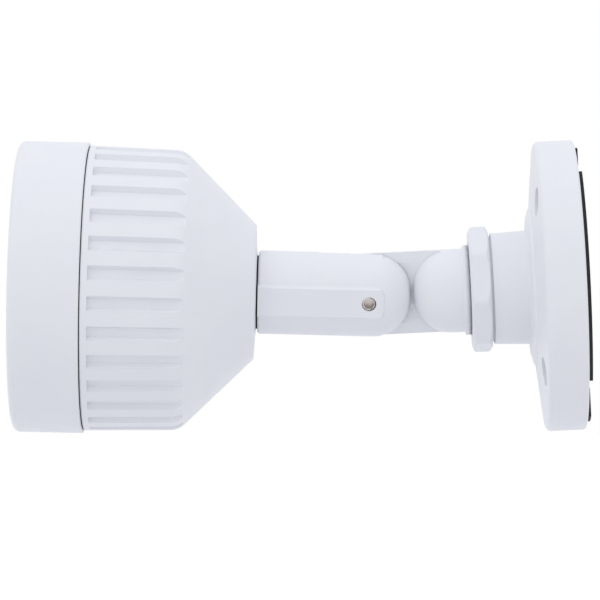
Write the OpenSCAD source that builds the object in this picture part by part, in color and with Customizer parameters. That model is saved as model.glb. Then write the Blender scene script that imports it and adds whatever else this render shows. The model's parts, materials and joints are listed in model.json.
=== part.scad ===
// Compact bullet security camera on a three-axis wall bracket.
// Frame: origin at the centre of the wall face, wall in the XZ plane, camera pointing along -Y, +Z up.
// Each piece is drawn along a local +Z that runs outward from the wall, then placed by a frame module.

/* [Pose] */
// Turn of the bracket about the base axis at rest, degrees
bracket_roll = 13.5; // [0:0.5:45]
// Upward tilt of the camera head at rest, degrees
head_tilt = 4.2; // [0:0.1:30]

/* [Wall gasket] */
// Thickness of the rubber gasket
gasket_t = 0.9; // [0.5:0.1:2.5]
// Outer radius of the gasket
gasket_r = 33.2; // [32:0.1:34]
// Width of the two straight drain slots
gasket_slot_w = 2; // [1:0.1:2.4]
// Depth of those slots from the rim
gasket_slot_d = 20; // [15:0.5:22]
// Depth by which the rim steps back beyond the slots
gasket_step_d = 13; // [2:0.5:14]
// Height of the upper slot above the middle
gasket_slot_up = 27.9; // [26.5:0.1:28.5]
// Height of the lower slot below the middle
gasket_slot_down = 23.8; // [23.7:0.1:24.5]

/* [Wall base] */
// Radius of the flange
flange_r = 35.1; // [34.5:0.1:45]
// Height of the flange rim above the gasket
flange_rim_h = 9.6; // [8:0.1:14]
// Rounding of the flange's front edge
flange_edge = 1.35; // [0.4:0.05:3]
// Rounding of the flange's back edge
flange_back_edge = 0.8; // [0.2:0.05:1.5]
// Rise of the flange face towards the middle, degrees
flange_slope = 6; // [2:0.5:10]
// Radius at the foot of the raised boss
boss_foot_r = 19.3; // [18:0.1:21]
// Radius of the flat top of the raised boss
boss_top_r = 16.6; // [16:0.1:17]
// Height of the raised boss above the flange face
boss_rise = 1.05; // [0.6:0.05:2.5]
// Neck radius at its root
neck_root_r = 13.8; // [13.6:0.1:14.4]
// Neck radius at its top
neck_top_r = 13.4; // [13.2:0.1:13.6]
// Neck height above the boss
neck_h = 8.8; // [7:0.1:16]
// Fillet at the neck root
neck_fillet = 0.4; // [0.2:0.1:1.5]
// Casting wall of the base
base_wall = 2.8; // [2:0.1:4]
// Thickness of the ribs behind the flange
base_rib_t = 1.8; // [1.2:0.1:3]
// Radius of the cable bore through the base
cable_bore_r = 9; // [6:0.1:9.5]
// Circle radius of the mounting screws
screw_circle_r = 28.5; // [27:0.1:29]
// Radius of the mounting screw holes
screw_hole_r = 2.2; // [1.6:0.1:2.5]
// Radius of the recess for the screw heads
screw_head_r = 3.45; // [3:0.05:4]
// Depth of the screw head recess
screw_recess_d = 2.4; // [1:0.1:4]

/* [Pan joint] */
// Radius of the threaded spigot on the neck
spigot_r = 13.1; // [13:0.05:13.15]
// Depth of the relief groove at the spigot's root
relief_d = 0.35; // [0.1:0.05:0.4]
// Width of that relief groove
relief_w = 1; // [0.4:0.1:1.4]
// Radius of the pocket that takes the knuckle's foot
pocket_r = 12.05; // [11.9:0.01:12.2]
// Thickness of the pocket's floor
pocket_floor = 2.4; // [1.5:0.1:4]
// Thickness of the pan friction washer
pan_washer_t = 1; // [0.5:0.1:2]
// Thickness of the knuckle's foot flange
foot_t = 2.2; // [1.5:0.1:3]
// Thickness of the slip washer under the ring's lip
slip_washer_t = 0.5; // [0.3:0.05:1]
// Gap between the neck and the lock ring
ring_gap = 0.4; // [0.35:0.05:1.5]
// Lock ring size across flats
ring_flats = 28.8; // [28.6:0.1:32]
// Lock ring height
ring_h = 4.75; // [4.6:0.05:7]
// Rounding of the ring's edges
ring_edge = 0.9; // [0.3:0.05:1.1]
// Turn of the ring's corners at rest, degrees
ring_turn = 11.5; // [-22.5:0.5:22.5]
// Collar radius of the knuckle
collar_r = 10.85; // [10.8:0.05:10.95]
// Height of the collar above the closed ring
collar_show = 1.7; // [1.4:0.05:3]
// Radius of the groove between the collar and the ring
groove_r = 9.4; // [9:0.1:9.8]
// Width of that groove
groove_w = 0.45; // [0.35:0.05:0.8]

/* [Tilt joint] */
// Radius of the two arms
arm_r = 10.12; // [10.1:0.01:10.3]
// Straight length of the knuckle above its collar
knuckle_straight = 2.15; // [1:0.01:6]
// Reach of an arm's round end from its centre
end_reach = 10.05; // [9.9:0.01:10.1]
// Rounding of the round ends
end_round = 8.95; // [8:0.05:9.8]
// Straight part of an arm beyond the centre of its round end
arm_straight = 3.3; // [0.5:0.1:3.4]
// Gap between the two round arm ends
end_gap = 0.85; // [0.8:0.01:2]
// Gap between the two flat arm faces
split_gap = 0.15; // [0.1:0.01:0.4]
// Radius of the hollow in the stem that clears the knuckle's ear
socket_r = 11.4; // [11:0.1:12.5]
// Radius of the cable chamber around the tilt screw
chamber_r = 8; // [7:0.1:8.4]
// Depth of the cable chamber in each arm
chamber_d = 4; // [3:0.1:4.4]
// Radius of the boss inside the chamber
tilt_boss_r = 4.6; // [4.3:0.05:5]
// Radius of the tilt screw's shoulder
tilt_shoulder_r = 3; // [2.8:0.05:3.4]
// Radius of the tilt screw's thread
tilt_thread_r = 2.5; // [2:0.05:2.6]
// Radius of the tilt screw's nose
tilt_nose_r = 1.6; // [1.2:0.05:1.65]
// Radius of the hole that shows the nose
tilt_nose_hole_r = 1.72; // [1.7:0.01:2]
// Depth of the nose below the panel
tilt_nose_sink = 0.6; // [0.1:0.05:1]
// Radius of the tilt screw's head
tilt_head_r = 4.2; // [3.8:0.05:4.3]
// Thickness of the tilt screw's head
tilt_head_t = 1.9; // [1.4:0.1:2.1]
// Seat of the tilt screw's head, from the middle plane
tilt_seat = 6.6; // [6.2:0.1:6.8]
// Thickness of the spring washer under the head
spring_washer_t = 0.5; // [0.3:0.05:0.8]
// Thickness of the friction washer between the arms
tilt_washer_t = 0.8; // [0.4:0.05:1.2]
// Radius of the cable bores in the arms
arm_bore_r = 2.6; // [1.8:0.1:2.7]

/* [Stem] */
// Length of the stem from the tilt axis
stem_len = 26.85; // [25:0.05:60]
// Rounding of the stem's front edge
stem_edge = 0.8; // [0.2:0.05:1.5]
// Width of the flat on the raised panel
panel_flat_w = 6.8; // [4:0.1:7.5]
// Width of the panel's sloped edge
panel_bevel = 0.65; // [0.2:0.05:1]
// Height of the panel's flat above the round of the arm
panel_rise = 0.03; // [0.02:0.01:0.2]
// Reach of the panel behind the tilt axis
panel_reach = 3.6; // [3:0.1:3.6]
// Corner radius of the panel
panel_corner = 2.2; // [0.3:0.1:3]
// Distance of the lock screw from the tilt axis
lock_screw_z = 8.9; // [8.7:0.1:9.2]
// Angle of the lock screw from the middle plane
lock_screw_angle = 13.5; // [12:0.5:18]
// Radius of the lock screw
lock_screw_r = 1.5; // [1:0.05:1.6]
// Radius of the lock screw's countersink
lock_sink_r = 1.95; // [1.8:0.05:2.2]
// Radius of the spot face around the lock screw
lock_spot_r = 3.85; // [3:0.05:4.2]
// Depth of the spot face
lock_spot_d = 0.2; // [0.1:0.05:0.4]

/* [Head swivel] */
// Radius of the hollow swivel shaft
shaft_r = 5; // [4:0.1:5.4]
// Bore of the swivel shaft
shaft_bore_r = 3.2; // [2:0.1:3.4]
// Depth of the shaft in the stem
shaft_depth = 11; // [8:0.1:11.5]
// Thickness of the seal between the stem and the body
seal_t = 0.35; // [0.3:0.05:1.5]
// Outer radius of that seal
seal_r = 8.9; // [7:0.1:9.3]
// Thickness of the wave washer behind the body wall
wave_washer_t = 0.8; // [0.4:0.1:1.5]
// Thickness of the shaft nut
shaft_nut_t = 3; // [2:0.1:4]
// Shaft nut size across flats
shaft_nut_flats = 14; // [12:0.1:17]

/* [Main body] */
// Radius of the body's flat rear face
body_rear_r = 16.3; // [15:0.05:18]
// Rise of the rear face from its middle to its corner
body_rear_rise = 0.37; // [0:0.01:0.8]
// Barrel radius at its front
barrel_front_r = 34.58; // [34.5:0.02:35]
// Taper of the barrel, its radius lost from the front to the cone
barrel_taper = 0.63; // [0.1:0.01:1]
// Rounding between the barrel and the cone
corner_round = 5; // [0.5:0.5:7]
// Length of the cone
cone_len = 17.7; // [17:0.1:24]
// Length of the ribbed barrel
barrel_len = 22.9; // [22:0.1:40]
// Thickness of the rear wall
body_rear_wall = 4; // [3:0.1:4.4]
// Thickness of the barrel's wall at its front
barrel_wall = 4.78; // [4.4:0.02:5.1]
// Wall of the cone, measured along the axis
cone_wall = 4.5; // [4:0.1:6]
// Number of cooling slots around the barrel
slot_count = 30; // [12:2:36]
// Width of a slot at the surface
slot_w = 3.6; // [2:0.05:4]
// Width of a slot at its floor
slot_floor_w = 2.2; // [1:0.05:2.6]
// Depth of a slot
slot_d = 1.4; // [0.8:0.1:2.2]
// Turn of the slots about the head's axis, degrees
slot_turn = 1.25; // [-6:0.25:6]
// Distance of the slots from the barrel's front edge
slot_land = 1.7; // [1:0.1:6]
// Gap between the body and the front ring
seam_gap = 0.25; // [0.15:0.01:0.6]
// Step from the barrel down to the threaded front spigot
front_spigot_step = 1.58; // [1.4:0.02:2]
// Length of the front spigot
front_spigot_len = 6.5; // [4:0.1:6.8]

/* [Front ring and window] */
// Step from the barrel up to the front ring
front_step = 0.67; // [0.4:0.01:2]
// Length of the front ring
front_len = 16.9; // [16.5:0.1:24]
// Rounding of its front edge
front_edge = 1.75; // [0.5:0.05:2]
// Thickness of the lip that holds the window
lip_t = 1.8; // [1.2:0.1:2.4]
// Thickness of the ring's wall around the window
front_wall = 3.45; // [3:0.05:3.9]
// Width of the lip that overlaps the window's gasket
lip_w = 2.8; // [1.8:0.1:3.2]
// Thickness of the window
window_t = 2.5; // [1.5:0.1:3]
// Thickness of the window's gasket
window_gasket_t = 0.6; // [0.3:0.1:1]
// Thickness of the ring that holds the window from behind
retainer_t = 1.8; // [1:0.1:2.4]

/* [Electronics] */
// Thickness of the circuit boards
board_t = 1.6; // [1:0.1:2]
// Distance from the body's front edge back to the frame's seat
frame_setback = 13; // [12.5:0.1:14]
// Thickness of the board frame
frame_t = 1.6; // [1:0.1:2.5]
// Radius of the round boards and the frame
board_r = 29.2; // [28.5:0.1:29.3]
// Side of the square boards
square_board = 36; // [35:0.5:38]
// Distance of the square boards' screws from their edges
board_margin = 3; // [2.5:0.1:4]
// Height of the spacers under the sensor board
sensor_spacer_h = 2; // [1:0.1:2.4]
// Distance from the frame back to the power board
power_drop = 10.4; // [9:0.1:11]
// Radius of the standoffs
standoff_r = 2.4; // [2:0.1:2.6]
// Radius of the board screws
board_screw_r = 1.25; // [1:0.05:1.3]
// Circle radius of the frame screws and LED posts
post_circle_r = 25.4; // [25.3:0.1:25.6]
// Number of infrared LEDs on the inner circle
led_inner_count = 10; // [6:1:12]
// Number of places on the outer circle, one of them the light sensor
led_outer_count = 18; // [12:3:18]
// Radius of the inner LED circle
led_inner_r = 15.2; // [14.5:0.1:15.6]
// Radius of the outer LED circle
led_outer_r = 21.6; // [21.2:0.1:21.7]
// Radius of an LED
led_r = 2.5; // [1.5:0.1:2.6]
// Height of an LED above its board
led_h = 8.6; // [8:0.1:9]
// Radius of the hole in the LED board
led_board_hole_r = 11; // [10:0.1:11.2]
// Thickness of the inner bezel's face
bezel_t = 1; // [0.6:0.1:1.4]
// Width of the foam shield around the lens
shield_w = 1.7; // [1:0.1:2]
// Length of the image sensor
sensor_len = 9; // [7:0.1:9.6]
// Width of the image sensor
sensor_w = 8; // [6:0.1:8.6]
// Height of the image sensor
sensor_h = 1.2; // [0.8:0.1:1.3]
// Radius of the storage coil on the power board
storage_coil_r = 3.6; // [3:0.1:4]
// Height of the storage coil
storage_coil_h = 4; // [3:0.1:6]
// Radius of the capacitors on the power board
capacitor_r = 2.6; // [2:0.1:3]
// Height of the capacitors
capacitor_h = 6; // [4:0.1:7]

/* [Lens] */
// Radius of the lens barrel's thread
lens_thread_r = 6; // [5:0.1:6.2]
// Radius of the lens barrel's head
lens_head_r = 7.4; // [7:0.1:7.8]
// Length of the lens barrel's head
lens_head_len = 6; // [4:0.1:7]
// Radius of the front element
lens_front_r = 5.4; // [3:0.1:6]
// Side of the lens holder's base
holder_base = 22; // [20:0.5:24]
// Height of the lens holder's base
holder_base_h = 6.5; // [6:0.1:7]
// Neck radius of the lens holder
holder_neck_r = 8.2; // [7.6:0.1:8.6]
// Height of the lens holder's neck
holder_neck_h = 4.5; // [3:0.1:5]
// Width of the filter slide's channel
filter_w = 8.4; // [7.6:0.1:9]
// Thickness of that channel
filter_t = 1.8; // [1.4:0.1:2]
// Height of that channel above the sensor board
filter_z = 2.2; // [2:0.1:2.4]
// Travel of the infrared-cut filter
filter_travel = 6; // [4:0.1:6.2]

/* [Fits] */
// Radial clearance of running fits
run_fit = 0.05; // [0.02:0.01:0.1]
// Radial clearance of fixed fits
set_fit = 0.02; // [0.01:0.005:0.05]
// Clearance between pieces that don't touch
clear = 0.35; // [0.3:0.01:0.6]
// Radial clearance around washers and boards
loose = 0.2; // [0.1:0.05:0.5]
// Gap between flat faces that slide on each other
face_gap = 0.02; // [0.01:0.01:0.05]

/* [Hidden] */
$fn = 64;

// Heights above the wall
rim_top = gasket_t + flange_rim_h;
boss_foot_z = rim_top + (flange_r - boss_foot_r) * tan(flange_slope);
boss_top_z = boss_foot_z + boss_rise;
neck_top_z = boss_top_z + neck_h;
ring_z = neck_top_z + ring_gap;
ring_top_z = ring_z + ring_h;
pocket_z = neck_top_z - 0.5;
foot_z = pocket_z + pan_washer_t;
foot_top_z = foot_z + foot_t;
lip_under_z = foot_top_z + slip_washer_t;
spigot_top_z = foot_top_z - 0.2;
groove_z = ring_top_z - 0.3;
groove_top_z = ring_top_z + groove_w;
collar_top_z = ring_top_z + collar_show;
dome_z = collar_top_z + knuckle_straight;
pivot_z = dome_z + 2 * end_reach + end_gap;

// Radii of the pan joint
foot_r = pocket_r - 1.6 * run_fit;
foot_bore_r = 6.5;
ring_bore_r = spigot_r + run_fit;
ring_lip_r = collar_r + clear;

// Radii of the head, each from the one outside it
barrel_rear_r = barrel_front_r - barrel_taper;
cavity_r = barrel_front_r - barrel_wall;
front_spigot_r = barrel_front_r - front_spigot_step;
front_r = barrel_front_r + front_step;
window_bore_r = front_r - front_wall;
lip_r = window_bore_r - lip_w;
board_pitch = square_board - 2 * board_margin;

// Distance of the raised panel's flat from the stem's axis
panel_x = arm_r + panel_rise;

// Heights along the head's axis, from the tilt axis
chamber_end_z = stem_len - shaft_depth - 2.4;
body_z = stem_len + seal_t + face_gap;
corner_z = body_z + body_rear_rise;
cone_end_z = corner_z + cone_len;
barrel_end_z = cone_end_z + barrel_len;
cavity_z = body_z + body_rear_wall;
wave_z = cavity_z + face_gap;
nut_z = wave_z + wave_washer_t;
shaft_end_z = nut_z + shaft_nut_t + 1.2;
front_ring_z = barrel_end_z + seam_gap;
front_z = front_ring_z + front_len;
lip_z = front_z - lip_t;
window_z = lip_z - window_gasket_t - window_t;
retainer_z = window_z - retainer_t;
frame_z = barrel_end_z - frame_setback;
frame_top_z = frame_z + frame_t;
sensor_z = frame_top_z + sensor_spacer_h;
sensor_top_z = sensor_z + board_t;
holder_top_z = sensor_top_z + holder_base_h;
neck_end_z = holder_top_z + holder_neck_h;
lens_front_z = neck_end_z + 0.4 + lens_head_len;
led_board_z = barrel_end_z - 1.2;
led_board_top_z = led_board_z + board_t;
bezel_z = led_board_top_z + led_h - 1.6;
bezel_top_z = bezel_z + bezel_t;
power_z = frame_z - power_drop;
cone_ratio = (barrel_rear_r - body_rear_r) / cone_len;
slot_draft = atan((barrel_front_r - barrel_rear_r) / barrel_len);

// Places of what repeats
square_corners = [for (x = [-1, 1], y = [-1, 1]) [x * board_pitch / 2, y * board_pitch / 2]];
post_angles = [30, 150, 270];
led_post_angles = [90, 210, 330];
ir_inner_angles = [for (i = [0 : led_inner_count - 1]) i * 360 / led_inner_count];
outer_angles = [for (i = [0 : led_outer_count - 1]) led_post_angles[0] + (i + 0.5) * 360 / led_outer_count];
sensor_angle = outer_angles[led_outer_count - 1];
ir_outer_angles = [for (i = [0 : led_outer_count - 2]) outer_angles[i]];

// ---- frames ----

// Local +Z points out from the wall and local +Y points up
module on_wall() rotate([90, 0, 0]) children();

// The same, turned with the bracket
module on_pan() on_wall() rotate([0, 0, -bracket_roll]) children();

// Origin on the tilt axis, +Z along the head
module on_tilt() on_pan() translate([0, 0, pivot_z]) rotate([-head_tilt, 0, 0]) children();

// ---- shared shapes ----

function unit(v) = v / norm(v);
function turn(a, b, c) = (b[0] - a[0]) * (c[1] - b[1]) - (b[1] - a[1]) * (c[0] - b[0]);

// Rounding of one corner: [first tangent point, second, centre, radius, whether it is convex]
function corner(a, b, c, r) =
    let (u = unit(a - b), w = unit(c - b), half = acos(u * w) / 2)
    [b + u * r / tan(half), b + w * r / tan(half), b + unit(u + w) * r / sin(half), r, turn(a, b, c) > 0];

// Outline through counter-clockwise points [x, y, corner radius] with true arcs at its corners
module smooth_outline(points) {
    n = len(points);
    p = [for (q = points) [q[0], q[1]]];
    corners = [for (i = [0 : n - 1]) if (points[i][2] > 0)
        corner(p[(i + n - 1) % n], p[i], p[(i + 1) % n], points[i][2])];
    cut = [for (i = [0 : n - 1]) let (k = corner(p[(i + n - 1) % n], p[i], p[(i + 1) % n], points[i][2]))
        each (points[i][2] > 0 ? [k[0], k[1]] : [p[i]])];
    difference() {
        union() {
            polygon(cut);
            for (k = corners) if (k[4]) translate(k[2]) circle(k[3]);
        }
        for (k = corners) if (!k[4]) translate(k[2]) circle(k[3]);
    }
}

// Solid of revolution from such an outline
module turned(points) rotate_extrude() smooth_outline(points);

// Flat ring from z0 to z1
module washer(r_out, r_in, z0, z1) {
    difference() {
        translate([0, 0, z0]) cylinder(r = r_out, h = z1 - z0);
        translate([0, 0, z0 - 1]) cylinder(r = r_in, h = z1 - z0 + 2);
    }
}

// Cylinder between two heights
module rod(r, z0, z1) translate([0, 0, z0]) cylinder(r = r, h = z1 - z0);

// Cylinder along X between two places
module x_rod(r, x0, x1) translate([x0, 0, 0]) rotate([0, 90, 0]) cylinder(r = r, h = x1 - x0);

// Hexagonal prism by its size across flats
module hexagon(flats, z0, z1) translate([0, 0, z0]) cylinder(r = flats / 2 / cos(30), h = z1 - z0, $fn = 6);

// Copies around the axis
module around(angles, r) for (a = angles) rotate([0, 0, a]) translate([r, 0, 0]) children();

// Block between two corners
module block(a, b) translate(a) cube(b - a);

// ---- wall base ----

module base_ribs() {
    difference() {
        union() {
            washer(screw_circle_r - 6.2 + base_rib_t, screw_circle_r - 6.2, gasket_t, rim_top - base_wall + 1);
            for (a = [0 : 45 : 315]) rotate([0, 0, a])
                block([cable_bore_r + 1, -base_rib_t / 2, gasket_t],
                      [flange_r - base_wall, base_rib_t / 2, rim_top - base_wall + 1]);
            around([45 : 90 : 315], screw_circle_r) rod(screw_head_r + 1.6, gasket_t, rim_top - base_wall + 1);
        }
        rod(cable_bore_r, 0, boss_top_z);
    }
}

module base_plate() color([0.90, 0.91, 0.93]) on_wall() {
    difference() {
        union() {
            difference() {
                turned([[0, gasket_t, 0], [flange_r, gasket_t, flange_back_edge],
                        [flange_r, rim_top, flange_edge], [boss_foot_r, boss_foot_z, 0.2],
                        [boss_foot_r - 0.5, boss_foot_z + 0.45 * boss_rise, 0.5],
                        [boss_top_r, boss_top_z, 1.5], [neck_root_r, boss_top_z, neck_fillet],
                        [neck_top_r, neck_top_z, 0.2], [spigot_r - relief_d, neck_top_z, 0],
                        [spigot_r - relief_d, neck_top_z + relief_w, 0], [spigot_r, neck_top_z + relief_w, 0],
                        [spigot_r, spigot_top_z, 0], [0, spigot_top_z, 0]]);
                washer(flange_r - base_wall, cable_bore_r + base_wall, gasket_t - 1, rim_top - base_wall);
            }
            intersection() {
                base_ribs();
                rod(flange_r - base_wall + 0.5, gasket_t, rim_top);
            }
        }
        rod(cable_bore_r, -1, pocket_z - pocket_floor);
        rod(foot_bore_r + 0.5, 0, pocket_z + 1);
        rod(pocket_r, pocket_z, spigot_top_z + 1);
        around([45 : 90 : 315], screw_circle_r) {
            rod(screw_hole_r, 0, boss_top_z);
            rod(screw_head_r, rim_top + (flange_r - screw_circle_r) * tan(flange_slope) - screw_recess_d,
                boss_top_z);
        }
    }
}

module base_gasket() color([0.07, 0.07, 0.07]) on_wall() {
    difference() {
        washer(gasket_r, cable_bore_r + 1, 0, gasket_t);
        // a drain slot across the rim at each height, and the rim set back beyond it
        for (y = [gasket_slot_up, -gasket_slot_down]) {
            rim_x = sqrt(pow(gasket_r, 2) - pow(y, 2));
            far_y = sign(y) * (gasket_r + 1);
            block([rim_x - gasket_slot_d, y - gasket_slot_w / 2, -1],
                  [gasket_r + 1, y + gasket_slot_w / 2, gasket_t + 1]);
            block([rim_x - gasket_step_d, min(y, far_y), -1], [gasket_r + 1, max(y, far_y), gasket_t + 1]);
        }
        around([45 : 90 : 315], screw_circle_r) rod(screw_hole_r, -1, gasket_t + 1);
    }
}

// ---- pan joint ----

module pan_washer() color([0.85, 0.84, 0.80]) on_wall() {
    washer(pocket_r - loose, foot_bore_r + 0.7, pocket_z, foot_z - face_gap);
}

module slip_washer() color([0.70, 0.71, 0.72]) on_wall() {
    washer(ring_bore_r - loose, ring_lip_r, foot_top_z + face_gap, lip_under_z - face_gap);
}

module lock_ring() color([0.90, 0.91, 0.93]) on_wall() rotate([0, 0, -ring_turn]) {
    difference() {
        translate([0, 0, ring_z]) cylinder(r = ring_flats / 2 / cos(22.5), h = ring_h, $fn = 8);
        // edges rounded in three steps along each flat
        for (a = [22.5 : 45 : 337.5], t = [22.5, 45, 67.5], top = [0, 1])
            rotate([0, 0, a])
                translate([ring_flats / 2 - ring_edge, 0, top ? ring_top_z - ring_edge : ring_z + ring_edge])
                    rotate([0, top ? -t : t, 0]) block([ring_edge, -8, -3], [ring_edge + 2, 8, 3]);
        rod(ring_bore_r, ring_z - 1, lip_under_z);
        rod(ring_lip_r, ring_z, ring_top_z + 1);
    }
}

// Half outline of an arm's round end: a short straight part, a small step and a flattened dome
module arm_end() {
    smooth_outline([[0, -1, 0], [arm_r, -1, 0], [arm_r, arm_straight, 0.4], [0, arm_straight, 0]]);
    intersection() {
        smooth_outline([[-end_reach, -2, 0], [end_reach, -2, 0], [end_reach, end_reach, end_round],
                        [-end_reach, end_reach, end_round]]);
        translate([0, -1]) square([end_reach + 1, end_reach + 2]);
    }
}

// Hollow half of the cable chamber, on the side where local X is positive
module cable_chamber() {
    difference() {
        x_rod(chamber_r, 0, chamber_d);
        x_rod(tilt_boss_r, -1, chamber_d + 1);
    }
    x_rod(tilt_boss_r, -1, tilt_washer_t / 2);
}

module pan_knuckle() color([0.90, 0.91, 0.93]) on_pan() {
    bore_x = -(chamber_d + 0.4);
    difference() {
        union() {
            rod(foot_r, foot_z, foot_top_z);
            rotate_extrude() {
                smooth_outline([[0, foot_z, 0], [collar_r, foot_z, 0], [collar_r, groove_z, 0],
                    [groove_r, groove_z, 0], [groove_r, groove_top_z, 0], [collar_r, groove_top_z, 0],
                    [collar_r, collar_top_z, 0.2], [arm_r, collar_top_z, 0.4], [arm_r, dome_z, 0],
                    [0, dome_z, 0]]);
                translate([0, dome_z]) arm_end();
            }
            intersection() {
                union() {
                    rod(arm_r, dome_z, pivot_z);
                    translate([0, 0, pivot_z]) sphere(arm_r);
                }
                block([-arm_r - 1, -arm_r - 1, dome_z], [-split_gap / 2, arm_r + 1, pivot_z + arm_r + 1]);
            }
        }
        rod(foot_bore_r, dome_z - arm_r - 1, dome_z);
        translate([bore_x, 0, 0]) rod(arm_bore_r, dome_z - 2, pivot_z - chamber_r + 1.5);
        translate([0, 0, pivot_z]) {
            mirror([1, 0, 0]) cable_chamber();
            x_rod(tilt_shoulder_r + run_fit, -arm_r - 1, 1);
            x_rod(tilt_head_r + clear, -arm_r - 1, -tilt_seat);
        }
    }
}

// ---- tilt joint ----

module tilt_screw() color([0.66, 0.62, 0.59]) on_tilt() {
    head_x = -tilt_seat - face_gap - spring_washer_t;
    nose_x = panel_x - tilt_nose_sink;
    thread_end = nose_x - 2.4;
    difference() {
        union() {
            x_rod(tilt_head_r, head_x - tilt_head_t, head_x);
            x_rod(tilt_shoulder_r, head_x, tilt_washer_t / 2);
            x_rod(tilt_thread_r, tilt_washer_t / 2, thread_end);
            x_rod(tilt_nose_r, thread_end, nose_x);
        }
        translate([nose_x - 1.2, 0, 0]) rotate([0, 90, 0]) hexagon(2.4, 0, 2);
        translate([head_x - tilt_head_t - 1, 0, 0]) rotate([0, 90, 0]) hexagon(3, 0, 2.2);
    }
}

module spring_washer() color([0.70, 0.71, 0.72]) on_tilt() {
    difference() {
        x_rod(tilt_head_r - 0.2, -tilt_seat - face_gap - spring_washer_t, -tilt_seat - face_gap);
        x_rod(tilt_shoulder_r + set_fit, -tilt_seat - 2, 0);
    }
}

module tilt_washer() color([0.85, 0.84, 0.80]) on_tilt() {
    difference() {
        x_rod(tilt_boss_r - loose, face_gap - tilt_washer_t / 2, tilt_washer_t / 2);
        x_rod(tilt_shoulder_r + set_fit, -1, 1);
    }
}

// ---- stem ----

// Raised panel on the stem's near side: a flat with sloped edges and rounded rear corners
module stem_panel() {
    root_x = sqrt(pow(arm_r, 2) - pow(panel_flat_w / 2 + panel_bevel, 2));
    half = panel_flat_w / 2;
    intersection() {
        linear_extrude(2 * (stem_len + panel_reach), center = true)
            polygon([[root_x - 2, -half - panel_bevel], [root_x, -half - panel_bevel], [panel_x, -half],
                     [panel_x, half], [root_x, half + panel_bevel], [root_x - 2, half + panel_bevel]]);
        translate([root_x - 3, 0, 0]) rotate([0, 90, 0]) linear_extrude(6) union() {
            translate([-stem_len, -arm_r]) square([stem_len + panel_reach - panel_corner, 2 * arm_r]);
            translate([-stem_len, -half - panel_bevel + panel_corner])
                square([stem_len + panel_reach, 2 * (half + panel_bevel - panel_corner)]);
            for (s = [-1, 1]) translate([panel_reach - panel_corner, s * (half + panel_bevel - panel_corner)])
                circle(panel_corner);
        }
    }
}

module stem_arm() color([0.90, 0.91, 0.93]) on_tilt() {
    bore_x = chamber_d + 0.4;
    difference() {
        union() {
            rotate_extrude() {
                smooth_outline([[0, 0, 0], [arm_r, 0, 0], [arm_r, stem_len, stem_edge], [0, stem_len, 0]]);
                mirror([0, 1]) arm_end();
            }
            stem_panel();
        }
        // far half: a hollow around the knuckle's ear, cut straight below so that the head can look down
        x_rod(socket_r, -arm_r - 1, split_gap / 2);
        block([-arm_r - 1, -arm_r - 1, -1], [split_gap / 2, 0, socket_r]);
        cable_chamber();
        translate([bore_x, 0, 0]) rod(arm_bore_r, chamber_r - 1.5, chamber_end_z + 1);
        rod(shaft_r + set_fit, chamber_end_z, stem_len + 1);
        x_rod(tilt_thread_r + set_fit, 0, panel_x - tilt_nose_sink - 2.4 + set_fit);
        x_rod(tilt_nose_hole_r, 0, arm_r + 1);
        rotate([0, 0, lock_screw_angle]) translate([0, 0, lock_screw_z]) rotate([-90, 0, 0]) {
            rod(lock_screw_r + set_fit, 5, arm_r + 1);
            rod(lock_sink_r, arm_r - lock_spot_d - 0.4, arm_r + 1);
            rod(lock_spot_r, arm_r - lock_spot_d, arm_r + 1);
        }
    }
}

module tilt_lock_screw() color([0.30, 0.30, 0.31]) on_tilt() {
    reach = sqrt(pow(arm_r + clear, 2) - pow(lock_screw_z - lock_screw_r, 2));
    rotate([0, 0, lock_screw_angle]) translate([0, 0, lock_screw_z]) rotate([-90, 0, 0]) difference() {
        rod(lock_screw_r, reach, arm_r - lock_spot_d - 0.1);
        hexagon(1.5, arm_r - lock_spot_d - 1.4, arm_r + 1);
    }
}

// ---- head swivel ----

module shaft_seal() color([0.16, 0.16, 0.17]) on_tilt() {
    washer(seal_r, shaft_r + set_fit, stem_len, stem_len + seal_t);
}

module swivel_shaft() color([0.74, 0.74, 0.75]) on_tilt() {
    washer(shaft_r, shaft_bore_r, stem_len - shaft_depth, shaft_end_z);
}

module wave_washer() color([0.70, 0.71, 0.72]) on_tilt() {
    washer(shaft_nut_flats / 2, shaft_r + set_fit, wave_z, nut_z);
}

module shaft_nut() color([0.74, 0.74, 0.75]) on_tilt() {
    difference() {
        hexagon(shaft_nut_flats, nut_z, nut_z + shaft_nut_t);
        rod(shaft_r + set_fit, nut_z - 1, nut_z + shaft_nut_t + 1);
    }
}

// ---- main body ----

// One cooling slot: a tapered channel that follows the barrel and runs out on the cone
module slot_cutter() {
    translate([barrel_rear_r, 0, cone_end_z]) rotate([0, slot_draft, 0])
        translate([0, 0, -4]) linear_extrude(4 + barrel_len - slot_land)
            polygon([[-slot_d, -slot_floor_w / 2], [2, -slot_w / 2 - (slot_w - slot_floor_w) / slot_d],
                     [2, slot_w / 2 + (slot_w - slot_floor_w) / slot_d], [-slot_d, slot_floor_w / 2]]);
}

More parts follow.
